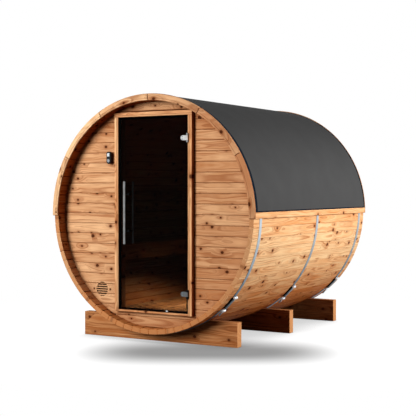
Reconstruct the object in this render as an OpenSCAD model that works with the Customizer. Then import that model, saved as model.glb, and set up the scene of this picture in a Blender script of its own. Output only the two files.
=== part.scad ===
// Barrel sauna: a closed barrel of wooden staves on three cradles, with a glass
// door in its front wall, a bench inside and roofing over its upper half.
// Millimetres, +Z up. The origin is on the ground under the middle of the barrel,
// the barrel lies along Y and its front faces -Y.

/* [Barrel] */
// Radius over the corners of the staves
barrel_r = 1025; // [1021:1:1250]
// Length of the staves
barrel_len = 2325; // [1900:1:2900]
// Thickness of the staves
stave_t = 43; // [34:1:52]
// Number of staves round the barrel
stave_count = 72; // [64:8:88]
// Gap between the ground and the barrel
barrel_lift = 73; // [50:1:110]

/* [End walls] */
// Thickness of the wall boards
wall_t = 42; // [34:1:60]
// Distance from the stave ends in to the wall's outer face
wall_inset = 95; // [70:1:140]

/* [Arches, roofing and battens] */
// Thickness of the wooden arches on the stave ends
arch_t = 15; // [10:1:25]
// How far the arches stand out past the staves
arch_proud = 16; // [15:1:30]
// Number of planks in each arch
arch_planks = 6; // [4:2:8]
// Gap between the planks of an arch
arch_gap = 1; // [0.5:0.5:2]
// Thickness of the roofing
roof_t = 6; // [3:1:8]
// Thickness of the side battens
batten_t = 11; // [8:1:12]
// Height of the side battens
batten_h = 51; // [40:1:70]
// How far the battens reach down below the barrel's axis
batten_drop = 16; // [10:1:25]

/* [Door] */
// Width of the glass
glass_w = 707; // [580:1:715]
// Height of the glass
glass_h = 1675; // [1390:1:1678]
// Thickness of the glass
glass_t = 8; // [6:1:10]
// Distance from the barrel's axis down to the glass's lower edge
glass_drop = 829; // [800:1:840]
// Gap between the glass and its frame
door_gap = 6; // [5:0.5:8]
// Gap between the glass and the stop behind it
stop_gap = 5; // [5:0.5:8]
// Width of the frame's face beside the glass
frame_w = 40; // [30:1:42]
// Height of the sill's face below the glass
sill_h = 17; // [14:1:40]
// How far the frame stands out in front of the wall
frame_proud = 36; // [20:1:45]
// How far the stop reaches in behind the glass
stop_w = 22; // [12:1:24]
// How far the glass's face lies behind the frame's face
glass_inset = 3; // [2:0.5:6]

/* [Hinges] */
// Height of each hinge
hinge_h = 76; // [60:1:100]
// Radius of the hinge's knuckles
knuckle_r = 8; // [7:0.5:10]
// Radius of the hinge pin
pin_r = 5; // [3:0.5:6]
// Distance of the upper hinge from the top of the glass
hinge_inset_top = 189; // [120:1:260]
// Distance of the lower hinge from the bottom of the glass
hinge_inset_bottom = 162; // [120:1:260]
// Length of the clamp on the glass
clamp_l = 62; // [50:1:80]
// Height of the clamp on the glass
clamp_h = 42; // [34:1:50]
// Thickness of the clamp's two halves
leaf_t = 5; // [4:0.5:6]

/* [Handle] */
// Length of the handle's bars
handle_len = 546; // [400:1:700]
// Radius of the handle's bars
handle_r = 10; // [8:0.5:14]
// Height of the handle's middle above the glass's lower edge
handle_rise = 846; // [700:1:950]
// Distance from the edge of the glass to the handle
handle_inset = 100; // [60:1:160]
// Distance from the glass to the middle of each bar
handle_reach = 62; // [45:1:70]
// Distance between the two spacers
spacer_gap = 322; // [250:1:360]

/* [Floor and bench] */
// Thickness of the floor and bench boards
board_t = 28; // [20:1:35]
// Height of the bench above the floor
bench_h = 563; // [450:1:640]
// Distance from the barrel's middle plane to the bench's front
bench_x = 392; // [385:1:480]
// Height of the board along the bench's front
bench_front_h = 135; // [100:1:180]
// Number of boards in the seat
seat_boards = 4; // [3:1:6]
// Gap between the seat's boards
seat_gap = 10; // [5:1:20]
// Height of the backrest's lower edge above the bench
backrest_rise = 175; // [130:1:240]
// Height of each backrest slat
slat_h = 90; // [70:1:110]
// Gap between the backrest slats
slat_gap = 15; // [10:1:25]

/* [Cradles and bands] */
// Length of each cradle across the barrel
cradle_l = 1586; // [1300:1:1700]
// Height of the cradles' ends
cradle_h = 211; // [160:1:260]
// Thickness of the cradles
cradle_t = 74; // [60:1:90]
// Distance from the stave ends in to the middle of the outer cradles
cradle_inset = 177; // [130:1:400]
// Width of the steel bands
band_w = 40; // [30:1:50]
// Thickness of the steel bands
band_t = 3; // [2:0.5:4]
// Gap between a cradle and the band beside it
band_gap = 4; // [2:1:10]

/* [Vent and control unit] */
// Radius of the vent
vent_r = 64; // [50:1:70]
// Distance of the vent from the middle of the wall
vent_x = 563; // [540:1:600]
// Height of the vent below the barrel's axis
vent_drop = 669; // [600:1:690]
// Height of each slot in the vent
slot_h = 9; // [6:1:12]
// Distance between the slots
slot_pitch = 20.5; // [16:0.5:24]
// Depth of the slots down to the cover behind them
slot_depth = 18; // [12:1:24]
// Width of the control unit
unit_w = 46; // [36:1:60]
// Height of the control unit
unit_h = 108; // [90:1:130]
// Depth of the control unit
unit_d = 40; // [25:1:50]
// Distance of the control unit from the middle of the wall
unit_x = 466; // [450:1:560]
// Radius of the control unit's upper corners
unit_corner_r = 11; // [5:1:16]
// Height of the control unit above the barrel's axis
unit_rise = 499; // [300:1:600]

/* [Hidden] */

// Barrel
stave_a = 360 / stave_count;
axis_z = barrel_r + barrel_lift;
segment_staves = stave_count / 8;
inner_r = barrel_r - stave_t;
inner_flat_r = inner_r * cos(stave_a / 2);
end_y = barrel_len / 2;
wall_out_y = end_y - wall_inset;
wall_in_y = wall_out_y - wall_t;
arch_r = barrel_r + arch_proud;
eps = 1;

// Door frame, measured from the barrel's axis and middle plane
frame_front_y = -wall_out_y - frame_proud;
frame_back_y = -wall_in_y;
glass_front_y = frame_front_y + glass_inset;
glass_back_y = glass_front_y + glass_t;
stop_y = glass_back_y + stop_gap;
jamb_in_x = glass_w / 2 + door_gap;
jamb_out_x = jamb_in_x + frame_w;
glass_z = axis_z - glass_drop;
glass_top_z = glass_z + glass_h;
head_in_z = glass_top_z + door_gap;
head_out_z = head_in_z + frame_w;
sill_in_z = glass_z - door_gap;
sill_out_z = sill_in_z - sill_h;
sill_stop_h = 18;

// Hinges: the pin stands in front of the joint between glass and jamb
hinge_x = jamb_in_x;
hinge_y = frame_front_y - knuckle_r - 1;
hinge_zs = [glass_z + hinge_inset_bottom, glass_top_z - hinge_inset_top];
pin_play = 0.05;
knuckle_play = 0.5;
clamp_bolt_r = 5;
clamp_bolt_x = hinge_x - knuckle_r - clamp_l + clamp_h / 2;
bolt_play = 1;

// Handle
handle_x = -glass_w / 2 + handle_inset;
spacer_r = 6;
rosette_r = 11;
rosette_t = 4;
handle_z = glass_z + handle_rise;
spacer_zs = [handle_z - spacer_gap / 2, handle_z + spacer_gap / 2];

// Floor and bench
floor_step = 1;
floor_z = sill_in_z - floor_step;
bench_z = floor_z + bench_h;
backrest_z = bench_z + backrest_rise;
floor_play = 8;
floor_end_play = 2;
joist_w = 45;
joist_count = 4;
joist_end = 175;
joist_span = 2 * (wall_in_y - joist_end) - joist_w;
floor_flat_dz = axis_z - floor_z + board_t;
floor_half_w = sqrt(pow(inner_flat_r, 2) - pow(floor_flat_dz, 2)) - floor_play;
seat_play = 4;
seat_under_dz = axis_z - bench_z + board_t;
seat_back_x = sqrt(pow(inner_flat_r, 2) - pow(seat_under_dz, 2)) - seat_play;
seat_front_x = bench_x + board_t;
seat_board_w = (seat_back_x - seat_front_x - (seat_boards - 1) * seat_gap)
    / seat_boards;
bearer_h = 70;
bearer_w = 45;
bearer_end = 325;
bearer_ys = [bearer_end - wall_in_y, 0, wall_in_y - bearer_end];
slat_count = 3;
slat_t = 22;
slat_housing = 3;
backrest_end = 205;
backrest_top_z = backrest_z + slat_count * (slat_h + slat_gap) - slat_gap;
backrest_space = 35;
backrest_back_x = sqrt(pow(inner_flat_r, 2) - pow(backrest_top_z - axis_z, 2))
    - backrest_space;

// Bands and their tensioners
band_out_r = barrel_r + band_t;
cradle_pitch = end_y - cradle_inset;
band_offset = cradle_t / 2 + band_gap + band_w / 2;
band_ys = [-cradle_pitch - band_offset, band_offset, cradle_pitch + band_offset];
tension_a = 45;
lug_a = 4.4;
lug_r = 12;
lug_l = 48;
lug_play = 0.3;
rod_r = 4;
rod_end = 64;
lug_c = band_out_r + lug_r + lug_play;

// Arches
arch_a = 180 / arch_planks;

// Vent and control unit
slot_count = 7;
shutter_r = vent_r + 10;
shutter_play = 0.5;
shutter_t = wall_t - slot_depth;

// Door catch on the glass's lower edge
catch_x = 148;
catch_w = 18;
catch_h = 13;
catch_t = 4;

wood = "#c98d55";
light_wood = "#dfae78";
steel = "#aab2b8";

// Corner points on a circle of radius r, from stave joint i0 to stave joint i1
function stave_points(r, i0, i1) =
    [for (i = [i0:i1]) [r * cos(i * stave_a), r * sin(i * stave_a)]];

function reversed(points) =
    [for (i = [len(points) - 1:-1:0]) points[i]];

// Points of an arc of radius r about a centre, from angle a0 to angle a1
function arc_points(centre, r, a0, a1, steps) =
    [for (i = [0:steps]) centre + r * [cos(a0 + (a1 - a0) * i / steps),
        sin(a0 + (a1 - a0) * i / steps)]];

// Outline of an upright plate with a round lower end and rounded upper corners
function unit_points(w, h, r) = concat(
    arc_points([w / 2 - r, h / 2 - r], r, 0, 90, 6),
    arc_points([r - w / 2, h / 2 - r], r, 90, 180, 6),
    arc_points([0, w / 2 - h / 2], w / 2, 180, 360, 18));

// Stands a flat outline up across the barrel's axis, from y0 to y1
module across(y0, y1) {
    translate([0, y1, axis_z])
    rotate([90, 0, 0])
    linear_extrude(y1 - y0)
    children();
}

// A box between two corners
module block(low, high) {
    translate(low)
    cube(high - low);
}

// A band of flat-faced staves between two radii and two stave joints
module stave_band(r_in, r_out, i0, i1) {
    polygon(concat(stave_points(r_in, i0, i1),
        reversed(stave_points(r_out, i0, i1))));
}

// A many-sided disc whose sides lie on the staves
module stave_disc(r) {
    polygon(stave_points(r, 0, stave_count - 1));
}

// One of the eight stretches of staves, counted from the right side upwards
module staves(k) {
    color(wood)
    across(-end_y, end_y)
    stave_band(inner_r, barrel_r, k * segment_staves, (k + 1) * segment_staves);
}

// The part of the front wall between two corners seen from the front
module front_wall_piece(x0, z0, x1, z1) {
    color(light_wood)
    intersection() {
        across(-wall_out_y, -wall_in_y)
        stave_disc(inner_r);

        block([x0, -wall_out_y - eps, z0], [x1, -wall_in_y + eps, z1]);
    }
}

// Level slots inside a circle, with a round recess behind them
module vent_cut() {
    translate([-vent_x, -wall_in_y, axis_z - vent_drop])
    rotate([90, 0, 0]) {
        intersection() {
            cylinder(r = vent_r, h = wall_t + eps, $fn = 96);

            for (i = [0:slot_count - 1])
                translate([-vent_r, (i - (slot_count - 1) / 2) * slot_pitch - slot_h / 2, 0])
                cube([2 * vent_r, slot_h, wall_t + eps]);
        }

        translate([0, 0, -eps])
        cylinder(r = shutter_r + shutter_play, h = shutter_t + eps, $fn = 96);
    }
}

module front_wall_left() {
    color(light_wood)
    difference() {
        front_wall_piece(-barrel_r, 0, -jamb_out_x, 2 * axis_z);
        vent_cut();
    }
}

module front_wall_right() {
    front_wall_piece(jamb_out_x, 0, barrel_r, 2 * axis_z);
}

module front_wall_top() {
    front_wall_piece(-jamb_out_x, head_out_z, jamb_out_x, 2 * axis_z);
}

module front_wall_bottom() {
    front_wall_piece(-jamb_out_x, 0, jamb_out_x, sill_out_z);
}

module rear_wall() {
    color(light_wood)
    across(wall_in_y, wall_out_y)
    stave_disc(inner_r);
}

// Trims what it holds to the inside of the barrel
module inside_barrel() {
    intersection() {
        across(-end_y, end_y)
        stave_disc(inner_r);

        children();
    }
}

// A jamb with its stop; side is -1 on the left and 1 on the right
module door_jamb(side) {
    x0 = min(side * jamb_in_x, side * jamb_out_x);
    x1 = max(side * jamb_in_x, side * jamb_out_x);
    stop_x = side * (jamb_in_x - stop_w);
    color(light_wood)
    inside_barrel()
    union() {
        block([x0, frame_front_y, sill_out_z], [x1, frame_back_y, head_in_z]);
        block([min(x0, stop_x), stop_y, sill_in_z + sill_stop_h],
            [max(x1, stop_x), frame_back_y, head_in_z - stop_w]);
    }
}

module door_head() {
    color(light_wood)
    inside_barrel()
    union() {
        block([-jamb_out_x, frame_front_y, head_in_z],
            [jamb_out_x, frame_back_y, head_out_z]);
        block([-jamb_in_x, stop_y, head_in_z - stop_w],
            [jamb_in_x, frame_back_y, head_out_z]);
    }
}

module door_sill() {
    color(light_wood)
    inside_barrel()
    union() {
        block([-jamb_in_x, frame_front_y, sill_out_z],
            [jamb_in_x, frame_back_y, sill_in_z]);
        block([-jamb_in_x, stop_y, sill_out_z],
            [jamb_in_x, frame_back_y, sill_in_z + sill_stop_h]);
    }
}

// A hole through the glass
module glass_hole(x, z, r) {
    translate([x, glass_back_y + eps, z])
    rotate([90, 0, 0])
    cylinder(r = r, h = glass_t + 2 * eps, $fn = 48);
}

module door_glass() {
    color("#3a2c22", 0.6)
    difference() {
        block([-glass_w / 2, glass_front_y, glass_z],
            [glass_w / 2, glass_back_y, glass_top_z]);

        for (z = spacer_zs)
            glass_hole(handle_x, z, spacer_r + bolt_play);
        for (z = hinge_zs)
            glass_hole(clamp_bolt_x, z, clamp_bolt_r + bolt_play);
    }
}

// A bar on both sides of the glass, joined by two spacers through it
module door_handle() {
    y_out = glass_front_y - handle_reach;
    y_in = glass_back_y + handle_reach;
    color(steel)
    union() {
        for (y = [y_out, y_in])
            translate([handle_x, y, handle_z - handle_len / 2])
            cylinder(r = handle_r, h = handle_len, $fn = 48);

        for (z = spacer_zs) {
            translate([handle_x, y_in, z])
            rotate([90, 0, 0])
            cylinder(r = spacer_r, h = y_in - y_out, $fn = 48);

            for (y = [glass_front_y, glass_back_y + rosette_t])
                translate([handle_x, y, z])
                rotate([90, 0, 0])
                cylinder(r = rosette_r, h = rosette_t, $fn = 48);
        }
    }
}

// One half of a clamp: a plate with a round end, between two depths
module clamp_plate(x1, y0, y1) {
    r = clamp_h / 2;
    translate([clamp_bolt_x, y1, 0])
    rotate([90, 0, 0])
    linear_extrude(y1 - y0)
    polygon(concat(arc_points([0, 0], r, 90, 270, 12),
        [[x1 - clamp_bolt_x, -r], [x1 - clamp_bolt_x, r]]));
}

// The moving half of a hinge: two plates bolted through the glass, and a knuckle
module hinge_clamp() {
    knuckle_h = hinge_h / 2;
    difference() {
        union() {
            clamp_plate(hinge_x - knuckle_r, glass_front_y - leaf_t, glass_front_y);
            clamp_plate(jamb_in_x - stop_w - door_gap, glass_back_y,
                glass_back_y + leaf_t);

            translate([clamp_bolt_x, glass_back_y + eps, 0])
            rotate([90, 0, 0])
            cylinder(r = clamp_bolt_r, h = glass_t + 2 * eps, $fn = 48);

            block([hinge_x - 2 * knuckle_r, hinge_y - knuckle_r / 2, -knuckle_h / 2],
                [hinge_x, glass_front_y - leaf_t + eps, knuckle_h / 2]);

            translate([hinge_x, hinge_y, -knuckle_h / 2])
            cylinder(r = knuckle_r, h = knuckle_h, $fn = 48);
        }

        translate([hinge_x, hinge_y, -hinge_h])
        cylinder(r = pin_r + pin_play, h = 2 * hinge_h, $fn = 48);

        block([hinge_x, hinge_y + knuckle_r, -hinge_h],
            [hinge_x + eps, glass_front_y + eps, hinge_h]);
    }
}

module hinge_clamps() {
    color(steel)
    for (z = hinge_zs)
        translate([0, 0, z])
        hinge_clamp();
}

// The fixed half of a hinge: the pin, held in two knuckles on the jamb's edge
module hinge_bracket() {
    gap_z = hinge_h / 4 + knuckle_play;
    lug_h = hinge_h / 2 - gap_z;
    union() {
        translate([hinge_x, hinge_y, -hinge_h / 2])
        cylinder(r = pin_r, h = hinge_h, $fn = 48);

        for (z = [-hinge_h / 2, gap_z]) {
            translate([hinge_x, hinge_y, z])
            cylinder(r = knuckle_r, h = lug_h, $fn = 48);

            block([hinge_x, hinge_y, z],
                [hinge_x + knuckle_r - eps, frame_front_y, z + lug_h]);
        }
    }
}

module hinge_brackets() {
    color(steel)
    for (z = hinge_zs)
        translate([0, 0, z])
        hinge_bracket();
}

module door_catch() {
    color(steel)
    block([catch_x - catch_w / 2, glass_front_y - catch_t, glass_z],
        [catch_x + catch_w / 2, glass_front_y, glass_z + catch_h]);
}

module floor_slab() {
    color(wood)
    block([-floor_half_w, -wall_in_y + floor_end_play, floor_z - board_t],
        [floor_half_w, wall_in_y - floor_end_play, floor_z]);
}

// Cross beams that fill the bottom of the barrel under the floor
module floor_joists() {
    color(wood)
    inside_barrel()
    for (i = [0:joist_count - 1])
        translate([-barrel_r, (i / (joist_count - 1) - 0.5) * joist_span - joist_w / 2, 0])
        cube([2 * barrel_r, joist_w, floor_z - board_t]);
}

module bench_seat() {
    color(wood)
    for (i = [0:seat_boards - 1])
        translate([-seat_back_x + i * (seat_board_w + seat_gap),
            -wall_in_y + floor_end_play, bench_z - board_t])
        cube([seat_board_w, 2 * (wall_in_y - floor_end_play), board_t]);
}

module bench_front_board() {
    color(wood)
    block([-seat_front_x, -wall_in_y, bench_z - bench_front_h],
        [-bench_x, wall_in_y, bench_z]);
}

module bench_bearers() {
    color(wood)
    inside_barrel()
    for (y = bearer_ys)
        block([-barrel_r, y - bearer_w / 2, bench_z - board_t - bearer_h],
            [-seat_front_x, y + bearer_w / 2, bench_z - board_t]);
}

// Three long slats housed on upright battens that lie against the staves
module backrest() {
    slat_end = wall_in_y - backrest_end;
    color(wood)
    union() {
        for (i = [0:slat_count - 1])
            block([-backrest_back_x, -slat_end, backrest_z + i * (slat_h + slat_gap)],
                [-backrest_back_x + slat_t, slat_end,
                backrest_z + i * (slat_h + slat_gap) + slat_h]);

        inside_barrel()
        for (y = bearer_ys)
            block([-barrel_r, y - bearer_w / 2, backrest_z],
                [-backrest_back_x + slat_housing, y + bearer_w / 2, backrest_top_z]);
    }
}

// A half ring of curved planks that ends a little below the axis
module arch(y0, y1) {
    inset = arch_gap / 2 / sin(arch_a / 2);
    color(light_wood)
    intersection() {
        across(y0, y1)
        difference() {
            circle(r = arch_r, $fn = 180);
            circle(r = inner_r, $fn = 180);
        }

        for (k = [0:arch_planks - 1]) {
            mid = (k + 0.5) * arch_a;
            first = k == 0 ? -arch_a / 2 : 0;
            last = k == arch_planks - 1 ? arch_a / 2 : 0;
            across(y0 - eps, y1 + eps)
            translate(inset * [cos(mid), sin(mid)])
            polygon([[0, 0],
                2 * arch_r * [cos(k * arch_a + first), sin(k * arch_a + first)],
                2 * arch_r * [cos(mid), sin(mid)],
                2 * arch_r * [cos((k + 1) * arch_a + last), sin((k + 1) * arch_a + last)]]);
        }

        block([-2 * arch_r, y0 - eps, axis_z - batten_drop],
            [2 * arch_r, y1 + eps, axis_z + 2 * arch_r]);
    }
}

module roofing() {
    color("#3b3f44")
    intersection() {
        across(-end_y, end_y)
        stave_band(band_out_r, band_out_r + roof_t, 0, stave_count / 2);

        block([-2 * barrel_r, -barrel_len, axis_z - batten_drop + batten_h],
            [2 * barrel_r, barrel_len, axis_z + 2 * barrel_r]);
    }
}

// A batten along the roofing's lower edge; side is -1 on the left, 1 on the right
module batten(side) {
    out_x = side * (band_out_r + batten_t);
    in_x = side * (band_out_r - batten_t);
    color(light_wood)
    difference() {
        block([min(in_x, out_x), -end_y, axis_z - batten_drop],
            [max(in_x, out_x), end_y, axis_z - batten_drop + batten_h]);

        across(-end_y - eps, end_y + eps)
        stave_disc(band_out_r);
    }
}

// A steel band round the staves, open between its two lugs
module band(y) {
    color(steel)
    across(y - band_w / 2, y + band_w / 2)
    difference() {
        stave_disc(band_out_r);
        stave_disc(barrel_r);

        rotate(-tension_a)
        polygon([[0, 0], 2 * barrel_r * [cos(lug_a), -sin(lug_a)],
            2 * barrel_r * [cos(lug_a), sin(lug_a)]]);
    }
}

// Two round lugs on the band's ends, drawn together by a threaded rod
module tensioner(y) {
    translate([0, y, axis_z])
    rotate([0, tension_a, 0])
    union() {
        for (a = [-lug_a, lug_a])
            rotate([0, a, 0])
            translate([lug_c, lug_l / 2, 0])
            rotate([90, 0, 0])
            cylinder(r = lug_r, h = lug_l, $fn = 48);

        translate([lug_c * cos(lug_a), 0, -lug_c * sin(lug_a) - rod_end])
        cylinder(r = rod_r, h = 2 * lug_c * sin(lug_a) + rod_end + lug_r + rod_r,
            $fn = 32);
    }
}

module band_tensioners() {
    color(steel)
    for (y = band_ys)
        tensioner(y);
}

// A plank on edge, hollowed to the staves
module cradle(y) {
    color(wood)
    difference() {
        block([-cradle_l / 2, y - cradle_t / 2, 0],
            [cradle_l / 2, y + cradle_t / 2, cradle_h]);

        across(y - cradle_t, y + cradle_t)
        stave_disc(barrel_r);
    }
}

// A round wooden cover let into the wall behind the vent's slots
module vent_shutter() {
    color(wood)
    translate([-vent_x, -wall_in_y, axis_z - vent_drop])
    rotate([90, 0, 0])
    cylinder(r = shutter_r, h = shutter_t, $fn = 96);
}

module control_unit() {
    color("#17181a")
    translate([-unit_x, -wall_out_y, axis_z + unit_rise])
    rotate([90, 0, 0])
    linear_extrude(unit_d)
    polygon(unit_points(unit_w, unit_h, unit_corner_r));
}

staves(0);  // staves_right_upper
staves(1);  // staves_top_right
staves(2);  // staves_top_left
staves(3);  // staves_left_upper
staves(4);  // staves_left_lower
staves(5);  // staves_bottom_left
staves(6);  // staves_bottom_right
staves(7);  // staves_right_lower
front_wall_left();
front_wall_right();
front_wall_top();
front_wall_bottom();
rear_wall();
door_jamb(-1);  // door_jamb_left
door_jamb(1);  // door_jamb_right
door_head();
door_sill();
door_glass();
door_handle();
hinge_clamps();
hinge_brackets();
door_catch();
floor_slab();  // floor
floor_joists();
bench_seat();
bench_front_board();
bench_bearers();
backrest();
arch(-end_y - arch_t, -end_y);  // front_arch
arch(end_y, end_y + arch_t);  // rear_arch
roofing();
batten(-1);  // batten_left
batten(1);  // batten_right
band(band_ys[0]);  // band_front
band(band_ys[1]);  // band_middle
band(band_ys[2]);  // band_rear
band_tensioners();
cradle(-cradle_pitch);  // cradle_front
cradle(0);  // cradle_middle
cradle(cradle_pitch);  // cradle_rear
vent_shutter();
control_unit();
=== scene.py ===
import math
import random

import bmesh
import bpy
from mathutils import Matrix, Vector


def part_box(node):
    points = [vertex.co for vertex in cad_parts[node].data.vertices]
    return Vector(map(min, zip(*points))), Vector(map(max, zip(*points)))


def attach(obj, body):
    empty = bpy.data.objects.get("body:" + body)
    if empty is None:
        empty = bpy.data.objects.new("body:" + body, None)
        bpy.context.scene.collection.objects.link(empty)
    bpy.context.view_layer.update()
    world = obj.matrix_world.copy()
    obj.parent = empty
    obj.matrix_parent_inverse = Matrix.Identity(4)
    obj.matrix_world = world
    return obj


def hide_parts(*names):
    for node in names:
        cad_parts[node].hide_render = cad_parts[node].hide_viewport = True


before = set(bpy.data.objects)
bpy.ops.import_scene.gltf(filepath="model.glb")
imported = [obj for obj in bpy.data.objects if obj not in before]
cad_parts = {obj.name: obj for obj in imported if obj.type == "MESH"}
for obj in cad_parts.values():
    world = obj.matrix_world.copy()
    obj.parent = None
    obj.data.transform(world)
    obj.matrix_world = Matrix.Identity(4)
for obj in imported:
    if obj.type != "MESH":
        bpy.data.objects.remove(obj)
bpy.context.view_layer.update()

X = Vector((1, 0, 0))
Y = Vector((0, 1, 0))
Z = Vector((0, 0, 1))


def low(node):
    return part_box(node)[0]


def high(node):
    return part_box(node)[1]


# The barrel's measures, from the CAD nodes, and the pitch of its staves and boards
STAVE_NODES = ["staves_right_upper", "staves_top_right", "staves_top_left",
               "staves_left_upper", "staves_left_lower", "staves_bottom_left",
               "staves_bottom_right", "staves_right_lower"]
AXIS_Z = low("staves_right_upper").z
STAVE_R = high("staves_right_upper").x
INNER_R = low("staves_right_upper").x / math.cos(math.pi / 4)
END_Y = high("staves_right_upper").y
STAVE_COUNT = 72
STAVE_STEP = math.tau / STAVE_COUNT
WALL_R = INNER_R * math.cos(STAVE_STEP / 2)
WALL_OUT_Y = low("front_wall_left").y
WALL_IN_Y = high("front_wall_left").y
BOARD_PITCH = 0.0895
BOARD_SHIFT = 0.007
BOARD_LINE = AXIS_Z + BOARD_SHIFT

# The door's measures
FRAME_Y = low("door_jamb_right").y
JAMB_OUT = high("door_jamb_right").x
JAMB_WIDTH = 0.040
JAMB_IN = JAMB_OUT - JAMB_WIDTH
HEAD_IN = high("door_jamb_right").z
HEAD_OUT = high("door_head").z
SILL_OUT = low("door_sill").z
SILL_HEIGHT = 0.017
SILL_IN = SILL_OUT + SILL_HEIGHT
STOP_DEPTH = 0.016
STOP_Y = FRAME_Y + STOP_DEPTH


# ---- materials

def srgb(red, green, blue):
    """A linear colour from its 0-255 display values."""
    def channel(value):
        value /= 255
        return value / 12.92 if value <= 0.04045 else ((value + 0.055) / 1.055) ** 2.4
    return channel(red), channel(green), channel(blue), 1.0


def material(name):
    mat = bpy.data.materials.new(name)
    mat.use_nodes = True
    mat.node_tree.nodes.clear()
    return mat, mat.node_tree


def add(tree, kind, inputs=None, **settings):
    """A new shader node with its settings, and its inputs set or linked."""
    node = tree.nodes.new("ShaderNode" + kind)
    for key, value in settings.items():
        setattr(node, key, value)
    for key, value in (inputs or {}).items():
        if isinstance(value, bpy.types.NodeSocket):
            tree.links.new(value, node.inputs[key])
        else:
            node.inputs[key].default_value = value
    return node


def calc(tree, operation, a, b=0.0, clamp=False):
    node = add(tree, "Math", {0: a, 1: b}, operation=operation, use_clamp=clamp)
    return node.outputs[0]


def ramp(tree, value, low_in, high_in, low_out=0.0, high_out=1.0):
    """A smooth step from one value to another."""
    node = add(tree, "MapRange", {"Value": value, "From Min": low_in, "From Max": high_in,
                                  "To Min": low_out, "To Max": high_out},
               interpolation_type="SMOOTHSTEP")
    return node.outputs[0]


def blend(tree, amount, a, b, mode="MIX"):
    node = add(tree, "Mix", {0: amount, 6: a, 7: b}, data_type="RGBA", blend_type=mode)
    return node.outputs[2]


def vector(tree, x, y, z):
    return add(tree, "CombineXYZ", {0: x, 1: y, 2: z}).outputs[0]


def noise(tree, at, scale, detail, rough=0.5, output=0):
    node = add(tree, "TexNoise", {"Vector": at, "Scale": scale, "Detail": detail,
                                  "Roughness": rough})
    return node.outputs[output]


def object_place(tree):
    return add(tree, "TexCoord").outputs["Object"]


def finish_surface(mat, tree, height=None, depth=0.001, strength=1.0, **sockets):
    """A Principled surface, with bump where a height is given."""
    inputs = {key.replace("_", " "): value for key, value in sockets.items()}
    if height is not None:
        bump = add(tree, "Bump", {"Height": height, "Distance": depth,
                                  "Strength": strength})
        inputs["Normal"] = bump.outputs[0]
    shader = add(tree, "BsdfPrincipled", inputs)
    add(tree, "OutputMaterial", {"Surface": shader.outputs[0]})
    return mat


def grain_place(tree, along):
    """Coordinates along, across and through the wood, in metres."""
    if along is None:
        return add(tree, "Attribute", attribute_name="grain").outputs["Vector"]
    part = add(tree, "SeparateXYZ", {0: object_place(tree)})
    order = {"x": (0, 2, 1), "y": (1, 0, 2), "z": (2, 0, 1)}[along]
    return vector(tree, *[part.outputs[i] for i in order])


def hypot(tree, a, b):
    return calc(tree, "SQRT", calc(tree, "ADD", calc(tree, "POWER", a, 2.0),
                                   calc(tree, "POWER", b, 2.0)))


def times(tree, value, factor, plus=0.0):
    node = add(tree, "Math", {0: value, 1: factor, 2: plus}, operation="MULTIPLY_ADD")
    return node.outputs[0]


# The wood's measures: one knot at most in each cell, and a year's growth
KNOT_CELLS_A_METRE = 6.8
KNOT_R_LEAST = 0.0068
KNOT_R_SPREAD = 0.009
RING_PITCH = 0.0085
RING_BULGE = 0.012
# How far the painted shade in joints, corners and crevices reaches
CREVICE_SHADE_REACH = 0.15
KNOT_DARK = srgb(58, 26, 14)
KNOT_LIGHT = srgb(92, 46, 24)
# The tints of the painted shade on undersides and in joints, corners and crevices
UNDERSIDE_SHADE_TINT = (0.7, 0.43, 0.24, 1)
CREVICE_SHADE_TINT = (0.56, 0.42, 0.33, 1)
WHITE = (1, 1, 1, 1)


def find_knots(tree, x, y, share):
    """How far each point is from its knot, in knot radii; and whether there is one."""
    squeeze = 0.8
    flat = vector(tree, times(tree, x, squeeze), y, 0.0)
    cell = add(tree, "TexVoronoi", {"Vector": flat, "Scale": KNOT_CELLS_A_METRE},
               voronoi_dimensions="2D")
    chance = add(tree, "SeparateColor", {0: cell.outputs["Color"]})
    present = calc(tree, "LESS_THAN", chance.outputs[1], share)
    radius = times(tree, calc(tree, "POWER", chance.outputs[0], 2.0), KNOT_R_SPREAD,
                   KNOT_R_LEAST)
    away = add(tree, "VectorMath", {0: flat, 1: cell.outputs["Position"]},
               operation="SUBTRACT")
    part = add(tree, "SeparateXYZ", {0: away.outputs[0]})
    ragged = times(tree, noise(tree, flat, 110.0, 1.0), 0.006, -0.003)
    near = calc(tree, "ADD", hypot(tree, part.outputs[0], part.outputs[1]), ragged)
    near = calc(tree, "DIVIDE", near, radius)
    swirl = hypot(tree, times(tree, part.outputs[0], 0.38), part.outputs[1])
    swirl = calc(tree, "DIVIDE", swirl, radius)
    return near, swirl, present


def pith_distance(tree, x, y, z, bend, wave, curl):
    """The distance from a wandering pith, bent round the knots."""
    sway = noise(tree, vector(tree, times(tree, x, curl), times(tree, y, 3.0),
                              times(tree, z, 3.0)), 1.0, 2.5, output="Color")
    sway_part = add(tree, "SeparateColor", {0: sway})
    side = calc(tree, "ADD", y, times(tree, sway_part.outputs[0], wave, -wave / 2))
    depth = calc(tree, "ADD", z, times(tree, sway_part.outputs[1], wave * 1.5, -wave * 0.75))
    return calc(tree, "ADD", hypot(tree, side, depth), times(tree, bend, RING_BULGE))


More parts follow.
